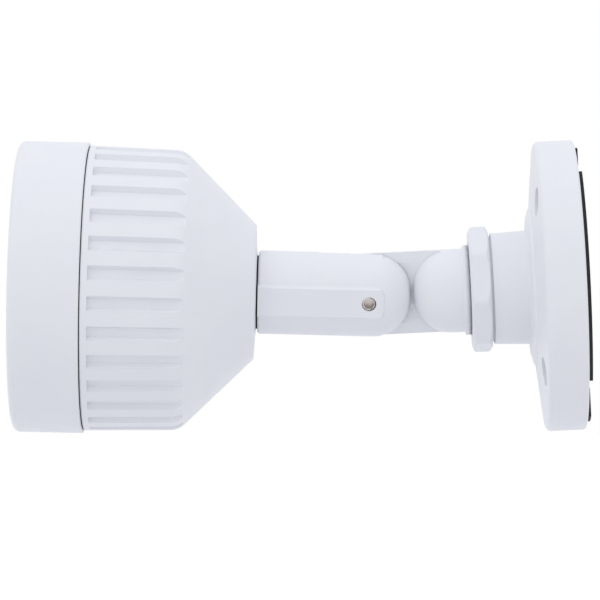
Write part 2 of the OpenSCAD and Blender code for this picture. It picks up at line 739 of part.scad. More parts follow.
module main_body() color([0.90, 0.91, 0.93]) on_tilt() {
    inner_cone_r = body_rear_r + (cavity_z - corner_z - cone_wall) * cone_ratio;
    inner_cone_z = cavity_z + (cavity_r - inner_cone_r) / cone_ratio;
    spigot_end_z = barrel_end_z + front_spigot_len;
    difference() {
        union() {
            difference() {
                turned([[0, body_z, 0], [seal_r + 0.3, body_z, 0], [body_rear_r, corner_z, 0.5],
                        [barrel_rear_r, cone_end_z, corner_round], [barrel_front_r, barrel_end_z, 0.3],
                        [front_spigot_r, barrel_end_z, 0], [front_spigot_r, spigot_end_z, 0],
                        [0, spigot_end_z, 0]]);
                rotate_extrude() polygon([[0, cavity_z], [inner_cone_r, cavity_z],
                    [cavity_r, inner_cone_z], [cavity_r, spigot_end_z + 1], [0, spigot_end_z + 1]]);
            }
            // bosses that carry the board frame
            intersection() {
                around(post_angles, post_circle_r) {
                    rod(standoff_r + 0.8, cavity_z, frame_z);
                    block([0, -standoff_r - 0.8, cavity_z], [cavity_r, standoff_r + 0.8, frame_z]);
                }
                rotate_extrude() polygon([[0, body_z + 1], [body_rear_r, corner_z + 1],
                    [barrel_rear_r - slot_d - 1, cone_end_z - slot_d], [barrel_rear_r - slot_d - 1, frame_z],
                    [0, frame_z]]);
            }
        }
        rod(shaft_r + run_fit, body_z - 1, cavity_z + 1);
        around(post_angles, post_circle_r) rod(board_screw_r + set_fit, frame_z - 6.5, frame_z + 1);
        for (i = [0 : slot_count - 1]) rotate([0, 0, slot_turn + (i + 0.5) * 360 / slot_count]) slot_cutter();
    }
}

module body_seal() color([0.13, 0.13, 0.14]) on_tilt() {
    washer(barrel_front_r - clear, front_spigot_r + set_fit, barrel_end_z, front_ring_z);
}

// ---- front ring and window ----

module front_ring() color([0.90, 0.91, 0.93]) on_tilt() {
    difference() {
        turned([[0, front_ring_z, 0], [front_r, front_ring_z, 0.3], [front_r, front_z, front_edge],
                [0, front_z, 0]]);
        rod(front_spigot_r + set_fit, front_ring_z - 1, front_ring_z + front_spigot_len + 0.5);
        rod(window_bore_r, front_ring_z, lip_z);
        rod(lip_r, lip_z - 1, front_z + 1);
    }
}

module window_gasket() color([0.10, 0.10, 0.11]) on_tilt() {
    washer(window_bore_r - loose, lip_r + loose, lip_z - window_gasket_t, lip_z);
}

module window_glass() color([0.80, 0.86, 0.88]) on_tilt() {
    rod(window_bore_r - loose, window_z, window_z + window_t);
}

module window_retainer() color([0.12, 0.12, 0.13]) on_tilt() {
    washer(window_bore_r - set_fit, board_r + loose, retainer_z, window_z);
}

module inner_bezel() color([0.06, 0.06, 0.07]) on_tilt() {
    difference() {
        rod(board_r, led_board_top_z, bezel_top_z);
        rod(board_r - 1.2, led_board_top_z - 1, bezel_z);
        rod(lens_head_r + 0.6, bezel_z - 1, bezel_top_z + 1);
        around(ir_inner_angles, led_inner_r) rod(led_r + loose, bezel_z - 1, bezel_top_z + 1);
        around(outer_angles, led_outer_r) rod(led_r + loose, bezel_z - 1, bezel_top_z + 1);
    }
}

module lens_shield() color([0.05, 0.05, 0.05]) on_tilt() {
    washer(lens_head_r + 0.7 + shield_w, lens_head_r + 0.7, bezel_top_z, window_z);
}

// ---- infrared board ----

module led_board() color([0.10, 0.30, 0.16]) on_tilt() {
    difference() {
        rod(board_r, led_board_z, led_board_top_z);
        rod(led_board_hole_r, led_board_z - 1, led_board_top_z + 1);
        around(led_post_angles, post_circle_r) rod(board_screw_r + loose, led_board_z - 1, led_board_top_z + 1);
    }
}

module led() {
    rod(led_r + 0.3, led_board_top_z, led_board_top_z + 1);
    rod(led_r, led_board_top_z, led_board_top_z + led_h - led_r);
    translate([0, 0, led_board_top_z + led_h - led_r]) sphere(led_r);
}

module ir_leds() color([0.35, 0.30, 0.38]) on_tilt() {
    around(ir_inner_angles, led_inner_r) led();
    around(ir_outer_angles, led_outer_r) led();
}

module light_sensor() color([0.75, 0.55, 0.30]) on_tilt() {
    around([sensor_angle], led_outer_r) {
        rod(led_r, led_board_top_z + 5.2, led_board_top_z + 7.2);
        for (s = [-1, 1]) translate([0, 1.2 * s, 0]) rod(0.3, led_board_top_z, led_board_top_z + 5.2);
    }
}

module led_posts() color([0.74, 0.66, 0.40]) on_tilt() {
    around(led_post_angles, post_circle_r) difference() {
        hexagon(2 * standoff_r, frame_top_z, led_board_z);
        rod(board_screw_r + set_fit, led_board_z - 4.6, led_board_z + 1);
    }
}

// Small pan-head screw with its head under z
module small_screw(z, length) {
    difference() {
        union() {
            rod(board_screw_r, z - length, z);
            rod(board_screw_r + 1, z, z + 1.1);
        }
        for (a = [0, 90]) rotate([0, 0, a]) block([-1.2, -0.2, z + 0.5], [1.2, 0.2, z + 2]);
    }
}

module led_screws() color([0.70, 0.71, 0.72]) on_tilt() {
    around(led_post_angles, post_circle_r) small_screw(led_board_top_z, board_t + 4);
}

// ---- lens ----

module lens_barrel() color([0.08, 0.08, 0.08]) on_tilt() {
    head_z = lens_front_z - lens_head_len;
    difference() {
        union() {
            rod(lens_thread_r, sensor_top_z + 5, head_z + 0.1);
            turned([[0, head_z, 0], [lens_head_r, head_z, 0.3], [lens_head_r, lens_front_z, 0.5],
                    [0, lens_front_z, 0]]);
        }
        rod(lens_thread_r - 1.4, sensor_top_z, head_z + 1);
        rod(lens_front_r, head_z + 1, lens_front_z + 1);
    }
}

module lens_elements() color([0.25, 0.30, 0.42]) on_tilt() {
    seat_z = lens_front_z - lens_head_len + 1;
    intersection() {
        rod(lens_front_r - set_fit, seat_z, lens_front_z);
        translate([0, 0, lens_front_z - 0.3 - 2 * lens_front_r]) sphere(2 * lens_front_r);
    }
    rod(lens_thread_r - 1.4 - set_fit, sensor_top_z + 5.5, sensor_top_z + 7.5);
}

module lens_holder() color([0.12, 0.12, 0.13]) on_tilt() {
    half = holder_base / 2;
    difference() {
        union() {
            block([-half, -half / 2 - 2.5, sensor_top_z], [half, half / 2 + 2.5, holder_top_z]);
            rod(holder_neck_r, sensor_top_z, neck_end_z);
        }
        rod(lens_thread_r + set_fit, sensor_top_z + 4.6, neck_end_z + 1);
        // channel of the filter slide, and the well over the image sensor
        block([-half + 1.2, -filter_w / 2, sensor_top_z + filter_z],
              [half - 1.2, filter_w / 2, sensor_top_z + filter_z + filter_t]);
        block([-sensor_len / 2 - 1, -sensor_w / 2 - 1, sensor_top_z - 1],
              [sensor_len / 2 + 1, sensor_w / 2 + 1, sensor_top_z + sensor_h + 0.4]);
        rod(3.6, sensor_top_z, sensor_top_z + 6);
    }
}

module ir_cut_filter() color([0.55, 0.25, 0.35]) on_tilt() {
    length = holder_base - 2.4 - filter_travel - 2 * clear;
    block([clear - holder_base / 2 + 1.2, clear - filter_w / 2, sensor_top_z + filter_z + clear],
          [clear - holder_base / 2 + 1.2 + length, filter_w / 2 - clear, sensor_top_z + filter_z + filter_t - clear]);
}

module ir_cut_coil() color([0.60, 0.35, 0.20]) on_tilt() {
    half = holder_base / 2;
    translate([half + 2.6, 0, sensor_top_z]) difference() {
        block([-2.4, -4, 0], [2.4, 4, 5.4]);
        block([-3, -2.6, 1.2], [-1.4, 2.6, 4.2]);
    }
}

module image_sensor() color([0.20, 0.22, 0.30]) on_tilt() {
    block([-sensor_len / 2, -sensor_w / 2, sensor_top_z],
          [sensor_len / 2, sensor_w / 2, sensor_top_z + sensor_h]);
}

// ---- boards and their frame ----

module square_board(z) {
    difference() {
        block([-square_board / 2, -square_board / 2, z], [square_board / 2, square_board / 2, z + board_t]);
        for (p = square_corners) translate(p) rod(board_screw_r + loose, z - 1, z + board_t + 1);
    }
}

module sensor_board() color([0.10, 0.30, 0.16]) on_tilt() square_board(sensor_z);

module power_board() color([0.10, 0.30, 0.16]) on_tilt() {
    square_board(power_z);
    // storage coil and capacitors
    rod(storage_coil_r, power_z + board_t, power_z + board_t + storage_coil_h);
    for (x = [-0.28, 0.25]) translate([x * square_board, square_board / 6, 0])
        rod(capacitor_r, power_z + board_t, power_z + board_t + capacitor_h);
    block([-square_board / 6, -0.39 * square_board, power_z + board_t],
          [square_board / 6, -square_board / 6, power_z + board_t + 1.4]);
}

module sensor_spacers() color([0.74, 0.66, 0.40]) on_tilt() {
    for (p = square_corners) translate(p) washer(standoff_r, board_screw_r + loose, frame_top_z, sensor_z);
}

module board_screws() color([0.70, 0.71, 0.72]) on_tilt() {
    for (p = square_corners) translate(p) {
        small_screw(sensor_top_z, board_t + sensor_spacer_h + frame_t + 4);
        mirror([0, 0, 1]) small_screw(-power_z, board_t + 3);
    }
}

module board_standoffs() color([0.74, 0.66, 0.40]) on_tilt() {
    for (p = square_corners) translate(p) difference() {
        hexagon(2 * standoff_r, power_z + board_t, frame_z);
        rod(board_screw_r + set_fit, power_z, frame_z + 1);
    }
}

module board_frame() color([0.75, 0.76, 0.78]) on_tilt() {
    window = board_pitch - 2 * standoff_r - 3;
    difference() {
        rod(board_r, frame_z, frame_top_z);
        block([-window / 2, -window / 2, frame_z - 1], [window / 2, window / 2, frame_top_z + 1]);
        around(post_angles, post_circle_r) rod(board_screw_r + loose, frame_z - 1, frame_top_z + 1);
        for (p = square_corners) translate(p) rod(board_screw_r + loose, frame_z - 1, frame_top_z + 1);
    }
}

module frame_screws() color([0.70, 0.71, 0.72]) on_tilt() {
    around(post_angles, post_circle_r) small_screw(frame_top_z, frame_t + 6);
}

module board_connector() color([0.92, 0.90, 0.84]) on_tilt() {
    difference() {
        block([-6, 4, power_z - 6], [6, 10, power_z]);
        block([-5, 5, power_z - 7], [5, 9, power_z - 1.5]);
    }
}

base_plate();
base_gasket();
pan_washer();
pan_knuckle();
slip_washer();
lock_ring();
tilt_screw();
spring_washer();
tilt_washer();
stem_arm();
tilt_lock_screw();
shaft_seal();
swivel_shaft();
wave_washer();
shaft_nut();
main_body();
body_seal();
front_ring();
window_gasket();
window_glass();
window_retainer();
inner_bezel();
lens_shield();
led_board();
ir_leds();
light_sensor();
led_posts();
led_screws();
lens_barrel();
lens_elements();
lens_holder();
ir_cut_filter();
ir_cut_coil();
image_sensor();
sensor_board();
sensor_spacers();
board_screws();
board_frame();
frame_screws();
board_standoffs();
power_board();
board_connector();
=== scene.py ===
"""Looks of the compact bullet security camera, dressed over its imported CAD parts."""

import json
import math

import bmesh
import bpy
from mathutils import Matrix, Vector


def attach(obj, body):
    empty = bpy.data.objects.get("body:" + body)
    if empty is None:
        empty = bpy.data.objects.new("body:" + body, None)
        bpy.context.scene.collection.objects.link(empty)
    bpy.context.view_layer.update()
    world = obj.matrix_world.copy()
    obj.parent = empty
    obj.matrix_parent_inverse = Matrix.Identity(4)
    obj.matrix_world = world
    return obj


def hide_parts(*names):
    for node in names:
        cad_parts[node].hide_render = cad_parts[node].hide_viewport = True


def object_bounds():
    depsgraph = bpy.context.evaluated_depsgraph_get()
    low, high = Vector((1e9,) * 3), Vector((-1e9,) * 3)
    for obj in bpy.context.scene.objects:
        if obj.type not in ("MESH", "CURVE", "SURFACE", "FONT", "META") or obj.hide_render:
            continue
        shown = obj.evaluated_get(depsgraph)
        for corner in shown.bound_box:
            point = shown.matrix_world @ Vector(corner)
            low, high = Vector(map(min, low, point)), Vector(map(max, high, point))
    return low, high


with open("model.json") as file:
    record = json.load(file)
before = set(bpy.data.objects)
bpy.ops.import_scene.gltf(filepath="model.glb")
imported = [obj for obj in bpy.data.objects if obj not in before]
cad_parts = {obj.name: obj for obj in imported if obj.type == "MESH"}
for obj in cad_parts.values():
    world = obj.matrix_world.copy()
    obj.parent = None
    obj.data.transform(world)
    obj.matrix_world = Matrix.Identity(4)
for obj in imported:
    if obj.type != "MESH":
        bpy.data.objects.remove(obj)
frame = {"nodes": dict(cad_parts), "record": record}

CAD_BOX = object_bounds()
NODES = frame["nodes"]
MM = 0.001

# ---- the joints' frames ----
JOINTS = {joint["name"]: joint for joint in frame["record"]["behaviour"]["joints"]}
PIVOT = Vector(JOINTS["tilt"]["pos_m"])
ACROSS = Vector(JOINTS["tilt"]["axis"])
WALL_AXIS = Vector(JOINTS["pan"]["axis"])
HEAD_AXIS = Vector(JOINTS["head_turn"]["axis"])
HEAD_AXES = Matrix((ACROSS, HEAD_AXIS.cross(ACROSS), HEAD_AXIS)).transposed().to_4x4()
HEAD = Matrix.Translation(PIVOT) @ HEAD_AXES

# ---- camera, as the photograph was taken ----
LENS = 227.1
DISTANCE = 0.919
ROLL = math.radians(2.7)
AIM = Vector((0, -0.06867, -0.0005))
SIDE_STEP = 0.016

# ---- light ----
AMBIENT = (0.72, 0.74, 0.80)
COOL = (0.9, 1.0, 1.1)
WARM = (1.0, 0.9, 0.6)
SOFT_LIGHTS = [
    # where it comes from, its strength and its tint
    ((0, 0, 1), 0.3, COOL),
    ((0, -1, 1), 0.1, WARM),
    ((0, 1, 1), 0.1, WARM),
    ((1, -1, 0), 0.15, WARM),
    ((1, 1, 0), 0.3, WARM),
    ((0, -1, 0), 0.15, WARM),
]
KEY_POWER = 1.4
FLOOR_DROP = 0.16
FLOOR_GLOW = 0.45


# ---- node helpers ----


def new_material(name):
    """An empty node material: (material, its nodes, its links, its Principled shader)."""
    material = bpy.data.materials.new(name)
    material.use_nodes = True
    nodes, links = material.node_tree.nodes, material.node_tree.links
    return material, nodes, links, nodes["Principled BSDF"]


def coordinates(nodes):
    """Object coordinates, which are the part's own metres."""
    return nodes.new("ShaderNodeTexCoord").outputs["Object"]


def noise(nodes, links, grain, detail=3.0):
    """Noise whose cells are about one grain across, in metres. Returns its factor socket."""
    texture = nodes.new("ShaderNodeTexNoise")
    texture.inputs["Scale"].default_value = 1 / grain
    texture.inputs["Detail"].default_value = detail
    links.new(coordinates(nodes), texture.inputs["Vector"])
    return texture.outputs["Fac"]


def remap(nodes, links, value, low, high, start=0.3, end=0.7):
    """The value, spread from low to high as it goes from start to end."""
    spread = nodes.new("ShaderNodeMapRange")
    spread.inputs["From Min"].default_value = start
    spread.inputs["From Max"].default_value = end
    spread.inputs["To Min"].default_value = low
    spread.inputs["To Max"].default_value = high
    links.new(value, spread.inputs["Value"])
    return spread.outputs["Result"]


def plug(links, value, socket):
    """Link a socket, or set a plain value."""
    if isinstance(value, bpy.types.NodeSocket):
        links.new(value, socket)
    else:
        socket.default_value = value


def blend_colours(nodes, links, factor, a, b):
    """A colour that goes from a, which may be a socket, to b with the factor."""
    mix = nodes.new("ShaderNodeMix")
    mix.data_type = "RGBA"
    plug(links, (*a, 1) if isinstance(a, tuple) else a, mix.inputs["A"])
    mix.inputs["B"].default_value = (*b, 1)
    links.new(factor, mix.inputs["Factor"])
    return mix.outputs["Result"]


def math_node(nodes, links, operation, *values):
    """Output of a Math node over these values."""
    node = nodes.new("ShaderNodeMath")
    node.operation = operation
    for value, socket in zip(values, node.inputs):
        plug(links, value, socket)
    return node.outputs["Value"]


def vector_math(nodes, links, operation, *values):
    """Vector Math node over these values."""
    node = nodes.new("ShaderNodeVectorMath")
    node.operation = operation
    for value, socket in zip(values, node.inputs):
        plug(links, value, socket)
    return node


def bump(nodes, links, shader, heights, depth, edge=0.0):
    """Bump of this depth in metres, over edges that are rounded in shading by the edge radius."""
    relief = nodes.new("ShaderNodeBump")
    relief.inputs["Distance"].default_value = depth
    links.new(heights, relief.inputs["Height"])
    if edge:
        rounding = nodes.new("ShaderNodeBevel")
        rounding.samples = 6
        rounding.inputs["Radius"].default_value = edge
        links.new(rounding.outputs["Normal"], relief.inputs["Normal"])
    links.new(relief.outputs["Normal"], shader.inputs["Normal"])


# ---- materials ----


def powder_coat():
    """Satin white powder coat over die-cast metal."""
    material, nodes, links, shader = new_material("white_casting")
    tone = remap(nodes, links, noise(nodes, links, 9 * MM), 0, 1)
    links.new(blend_colours(nodes, links, tone, (0.835, 0.845, 0.885), (0.855, 0.862, 0.895)),
              shader.inputs["Base Color"])
    links.new(remap(nodes, links, noise(nodes, links, 4 * MM), 0.40, 0.50), shader.inputs["Roughness"])
    shader.inputs["Specular IOR Level"].default_value = 0.3
    bump(nodes, links, shader, noise(nodes, links, 0.45 * MM, 2), 0.012 * MM, 0.15 * MM)
    return material


def rubber():
    """Matt black rubber with a fine grain."""
    material, nodes, links, shader = new_material("black_rubber")
    tone = remap(nodes, links, noise(nodes, links, 2 * MM), 0, 1)
    links.new(blend_colours(nodes, links, tone, (0.008, 0.008, 0.008), (0.016, 0.016, 0.016)),
              shader.inputs["Base Color"])
    shader.inputs["Roughness"].default_value = 0.8
    bump(nodes, links, shader, noise(nodes, links, 0.3 * MM, 4), 0.03 * MM)
    return material


def metal(name, low, high, rough):
    """Machined or rolled metal whose tone and gloss vary along its tool marks."""
    material, nodes, links, shader = new_material(name)
    shader.inputs["Metallic"].default_value = 1
    marks = noise(nodes, links, 0.5 * MM, 4)
    links.new(blend_colours(nodes, links, remap(nodes, links, marks, 0, 1), low, high),
              shader.inputs["Base Color"])
    links.new(remap(nodes, links, marks, rough - 0.06, rough + 0.08), shader.inputs["Roughness"])
    bump(nodes, links, shader, marks, 0.004 * MM, 0.1 * MM)
    return material


def plastic(name, low, high, rough):
    """Moulded plastic with a faint texture."""
    material, nodes, links, shader = new_material(name)
    tone = noise(nodes, links, 0.8 * MM)
    links.new(blend_colours(nodes, links, remap(nodes, links, tone, 0, 1), low, high),
              shader.inputs["Base Color"])
    links.new(remap(nodes, links, tone, rough - 0.04, rough + 0.06), shader.inputs["Roughness"])
    bump(nodes, links, shader, tone, 0.01 * MM, 0.12 * MM)
    return material


def head_coordinates(nodes, links):
    """Coordinates in metres that lie along the head."""
    along = nodes.new("ShaderNodeMapping")
    along.vector_type = "TEXTURE"
    along.inputs["Location"].default_value = HEAD.translation
    along.inputs["Rotation"].default_value = HEAD.to_euler()
    links.new(coordinates(nodes), along.inputs["Vector"])
    return along.outputs["Vector"]


def cells(nodes, links, grain, metric, output):
    """Output of a Voronoi texture along the head, with cells of about one grain."""
    texture = nodes.new("ShaderNodeTexVoronoi")
    texture.distance = metric
    texture.inputs["Scale"].default_value = 1 / grain
    links.new(head_coordinates(nodes, links), texture.inputs["Vector"])
    return texture.outputs[output]


def circuit_board():
    """Green solder mask over copper areas, with tinned holes."""
    material, nodes, links, shader = new_material("board")
    copper = remap(nodes, links, cells(nodes, links, 5 * MM, "CHEBYCHEV", "Color"), 0, 1, 0.4, 0.45)
    mask = blend_colours(nodes, links, copper, (0.008, 0.07, 0.03), (0.02, 0.15, 0.06))
    hole = remap(nodes, links, cells(nodes, links, 3.2 * MM, "EUCLIDEAN", "Distance"), 1, 0, 0.12, 0.15)
    links.new(blend_colours(nodes, links, hole, mask, (0.55, 0.52, 0.44)), shader.inputs["Base Color"])
    links.new(hole, shader.inputs["Metallic"])
    shader.inputs["Roughness"].default_value = 0.3
    bump(nodes, links, shader, copper, 0.03 * MM)
    return material


def light_cell():
    """Pale ceramic disc with a brown track to and fro across it."""
    material, nodes, links, shader = new_material("sensor_ceramic")
    split = nodes.new("ShaderNodeSeparateXYZ")
    links.new(head_coordinates(nodes, links), split.inputs["Vector"])
    turns = math_node(nodes, links, "MULTIPLY", split.outputs["Y"], math.tau / MM)
    wave = math_node(nodes, links, "SINE", turns)
    track = remap(nodes, links, wave, 0, 1, -0.2, 0.2)
    links.new(blend_colours(nodes, links, track, (0.74, 0.64, 0.48), (0.42, 0.13, 0.05)),
              shader.inputs["Base Color"])
    links.new(remap(nodes, links, wave, 0.15, 0.3, -1, 1), shader.inputs["Roughness"])
    bump(nodes, links, shader, noise(nodes, links, 0.4 * MM), 0.01 * MM)
    return material


def clear(name, tint, rough, ior=1.5, coating=(1, 1, 1)):
    """Glass or clear epoxy with a faintly uneven polish. A coating tints and weakens its reflections."""
    material, nodes, links, shader = new_material(name)
    shader.inputs["Specular Tint"].default_value = (*coating, 1)
    cloud = noise(nodes, links, 3 * MM)
    deeper = tuple(0.97 * c for c in tint)
    links.new(blend_colours(nodes, links, cloud, tint, deeper), shader.inputs["Base Color"])
    links.new(remap(nodes, links, cloud, rough, rough + 0.02), shader.inputs["Roughness"])
    shader.inputs["Transmission Weight"].default_value = 1
    shader.inputs["IOR"].default_value = ior
    return material


MATERIALS = {
    "white_casting": powder_coat(),
    "black_rubber": rubber(),
    "nylon": plastic("nylon", (0.72, 0.70, 0.64), (0.80, 0.78, 0.72), 0.4),
    "steel": metal("steel", (0.52, 0.50, 0.48), (0.66, 0.64, 0.62), 0.28),
    "blackened_steel": metal("blackened_steel", (0.04, 0.04, 0.04), (0.08, 0.08, 0.08), 0.45),
    "browned_steel": metal("browned_steel", (0.44, 0.40, 0.375), (0.62, 0.57, 0.54), 0.32),
    "window": clear("window", (0.93, 0.96, 0.96), 0.0, coating=(0.30, 0.34, 0.38)),
    "lens_glass": clear("lens_glass", (0.88, 0.92, 0.95), 0.0, 1.6, coating=(0.55, 0.30, 0.85)),
    "black_metal": metal("black_metal", (0.012, 0.012, 0.012), (0.03, 0.03, 0.03), 0.35),
    "black_plastic": plastic("black_plastic", (0.008, 0.008, 0.009), (0.016, 0.016, 0.017), 0.5),
    "board": circuit_board(),
    "led_lens": clear("led_lens", (0.82, 0.80, 0.90), 0.02),
    "sensor_ceramic": light_cell(),
    "brass": metal("brass", (0.60, 0.46, 0.20), (0.74, 0.60, 0.30), 0.25),
    "coil": metal("coil", (0.40, 0.16, 0.07), (0.62, 0.30, 0.15), 0.35),
    "bare_aluminium": metal("bare_aluminium", (0.62, 0.63, 0.65), (0.74, 0.75, 0.77), 0.35),
    "connector_plastic": plastic("connector_plastic", (0.75, 0.73, 0.66), (0.82, 0.80, 0.74), 0.4),
}

for part in frame["record"]["subparts"]:
    mesh = NODES[part["node"]].data
    mesh.materials.clear()
    mesh.materials.append(MATERIALS[part["material_slot"]])


# ---- shapes finished here ----

# Edges that turn more than this stay sharp
SHARP = math.radians(22)

# Round end of an arm, in mm, as the CAD model has it
ARM_R = 10.12
ARM_STRAIGHT = 3.3
STEP_EDGE = 0.4
DOME_SIDE = 1.1
DOME_ROUND = 8.95
DOME_Z = 31.011

# The panel on the stem, in mm: half its width, and how far out its flat lies at least
PANEL_HALF = 4.05
PANEL_FROM = 9.28

# The smooth sweep into a round end, in mm: where along the arm it ends, its cuts, and where across the
# arm it begins and over what width it fills in
BLEND_END = 5.0
BLEND_CUTS = 9
BLEND_CUT_STEP = 0.4
BLEND_FROM = 0.3
BLEND_WIDTH = 3

# Lock ring: its two ends and its lip in mm from the wall, its radii in mm, and the turn of its corners
RING_Z = (22.531, 27.381)
RING_FLAT_R = 14.4
RING_CORNER_R = 15.587
RING_CORNER_ROUND = 1.8
RING_CORNER_AT = math.radians(-11.5)
RING_LIP_R = 11.2
RING_LIP_Z = 25.211
RING_BORE_R = 13.15

# How the lock ring's corners are turned down at its ends, in mm: the turned end's radius and height, how
# full its curve is, and the soft edge between the turned face and the flats
RING_END_R = RING_FLAT_R - 0.5
RING_TURNED_H = 1.1
RING_TURNED_CURVE = 1.6
RING_TURNED_SLACK = 0.05
RING_SOFT_W = 0.16
RING_SOFT_DROP = 0.04
RING_COLUMNS = 24

# Hinge screw, in mm: how far its nose is from the middle of the joint, how much deeper its socket is cut,
# which points are its socket's and its nose's, and how far its edge is turned down
NOSE_X = 9.55
NOSE_SOCKET = 1.2
SOCKET_R = 1.5
NOSE_EDGE_R = 1.6
NOSE_EDGE_DROP = 0.13

# The circles of infrared LEDs, each with its radius in mm and its angles in degrees
LED_CIRCLES = ((15.2, range(0, 360, 36)), (21.6, range(100, 440, 20)))

# Where the LEDs stand and the lens barrel starts, in mm along the head
LED_BOARD_TOP = 68.59
LENS_FOOT = 65.39


def new_piece(name, bm, node, body, slot):
    """Object from this bmesh that stands for a CAD node, in the slot's material."""
    mesh = bpy.data.meshes.new(name)
    bm.to_mesh(mesh)
    bm.free()
    mesh.shade_smooth()
    mesh.set_sharp_from_angle(angle=SHARP)
    piece = bpy.data.objects.new(name, mesh)
    bpy.context.scene.collection.objects.link(piece)
    mesh.materials.append(MATERIALS[slot])
    piece.modifiers.new("even shading", "WEIGHTED_NORMAL").keep_sharp = True
    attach(piece, body)
    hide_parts(node)
    return piece


def cad_radius(z):
    """Radius of the arm's end at a height over its start, as the CAD model has it."""
    if z < ARM_STRAIGHT - STEP_EDGE:
        return ARM_R
    dome = DOME_SIDE + math.sqrt(max(0, DOME_ROUND ** 2 - (z - DOME_SIDE) ** 2))
    if z > ARM_STRAIGHT:
        return dome
    edge = math.sqrt(max(0, STEP_EDGE ** 2 - (z - ARM_STRAIGHT + STEP_EDGE) ** 2))
    return max(dome, ARM_R - STEP_EDGE + edge)


def blended_radius(z):
    """The same with one smooth sweep from the arm into the dome."""
    if z >= BLEND_END:
        return cad_radius(z)
    if z <= 0:
        return ARM_R
    t = z / BLEND_END
    slope = -(BLEND_END - DOME_SIDE) / (cad_radius(BLEND_END) - DOME_SIDE)
    return ((1 - 3 * t * t + 2 * t ** 3) * ARM_R + (3 * t * t - 2 * t ** 3) * cad_radius(BLEND_END)
            + (t ** 3 - t * t) * BLEND_END * slope)


def round_shading(piece, origin, along):
    """Shade the arm's straight round as a true cylinder, and the rest as its modifier does."""
    mesh = piece.data
    evaluated = piece.evaluated_get(bpy.context.evaluated_depsgraph_get()).data
    normals = [corner.vector.copy() for corner in evaluated.corner_normals]
    for face in mesh.polygons:
        offsets = [(mesh.vertices[i].co - origin) / MM for i in face.vertices]
        outwards = [offset - along * offset.dot(along) for offset in offsets]
        on_round = all(offset.dot(along) < 0.01 and abs(outward.length - ARM_R) < 0.05
                       for offset, outward in zip(offsets, outwards))
        faces_out = face.normal.dot(sum(outwards, Vector()).normalized()) > 0.7
        sliver = face.area < 0.02 * MM * MM
        if on_round and (faces_out or sliver):
            for corner, outward in zip(face.loop_indices, outwards):
                normals[corner] = outward.normalized()
    piece.modifiers.clear()
    mesh.normals_split_custom_set(normals)


def blended_arm(node, body, origin, along, panel=False):
    """Copy of an arm whose round end sweeps out of its near side without a step."""
    bm = bmesh.new()
    bm.from_mesh(NODES[node].data)
    bmesh.ops.remove_doubles(bm, verts=bm.verts, dist=0.002 * MM)
    for step in range(BLEND_CUTS):
        bmesh.ops.bisect_plane(bm, geom=[*bm.verts, *bm.edges, *bm.faces],
                               plane_co=origin + along * step * BLEND_CUT_STEP * MM, plane_no=along)
    for vert in bm.verts:
        offset = (vert.co - origin) / MM
        z, x = offset.dot(along), offset.dot(ACROSS)
        if not 0 < z < BLEND_END or x < BLEND_FROM:
            continue
        outward = offset - along * z
        y = math.sqrt(max(0, outward.length ** 2 - x * x))
        drop = blended_radius(z) - cad_radius(z)
        if abs(outward.length - cad_radius(z)) < 0.03:
            near = min(1, (x - BLEND_FROM) / BLEND_WIDTH)
            vert.co += outward.normalized() * drop * near * near * (3 - 2 * near) * MM
        elif panel and y < PANEL_HALF + 0.05 and x > PANEL_FROM:
            vert.co += ACROSS * (blended_radius(z) - ARM_R) * MM
    piece = new_piece(node + "_blended", bm, node, body, "white_casting")
    round_shading(piece, origin, along)


def lathe(bm, outline, place, turns):
    """Solid turned round the place's Z axis from its (radius, height) outline in mm."""
    rings = [[bm.verts.new(place @ Vector((r * math.cos(i * math.tau / turns) * MM,
                                           r * math.sin(i * math.tau / turns) * MM, z * MM)))
              for i in range(turns if r else 1)] for r, z in outline]
    for a, b in zip(rings, rings[1:] + rings[:1]):
        if len(a) + len(b) > 2:
            for i in range(turns):
                j = (i + 1) % turns
                bm.faces.new(dict.fromkeys((a[i % len(a)], a[j % len(a)], b[j % len(b)], b[i % len(b)])))
    bmesh.ops.recalc_face_normals(bm, faces=bm.faces)


def arc(centre_z, radius, rim, steps=8):
    """Outline points on a sphere from its rim to the axis, below its centre if the radius is negative."""
    radii = [rim * math.cos(i / steps * math.pi / 2) for i in range(steps + 1)]
    return [(r, centre_z + math.copysign(math.sqrt(radius * radius - r * r), radius)) for r in radii]


def turned(name, outline, node, slot):
    """One turned piece of the lens, in mm from the lens's foot, that stands for a CAD node."""
    bm = bmesh.new()
    lathe(bm, outline, HEAD @ Matrix.Translation((0, 0, LENS_FOOT * MM)), 96)
    new_piece(name, bm, node, "head", slot)


def hinge_screw():
    """Copy of the hinge screw with a deeper socket and a turned-down edge at its nose."""
    bm = bmesh.new()
    bm.from_mesh(NODES["tilt_screw"].data)
    for vert in bm.verts:
        offset = (vert.co - PIVOT) / MM
        x = offset.dot(ACROSS)
        outward = offset - ACROSS * x
        if abs(x - NOSE_X + NOSE_SOCKET) < 0.05 and outward.length < SOCKET_R:
            vert.co -= ACROSS * NOSE_SOCKET * MM
        elif abs(x - NOSE_X) < 0.05 and outward.length > NOSE_EDGE_R:
            vert.co -= outward.normalized() * NOSE_EDGE_DROP * MM
    new_piece("tilt_screw_turned", bm, "tilt_screw", "tilt_arm", "browned_steel")


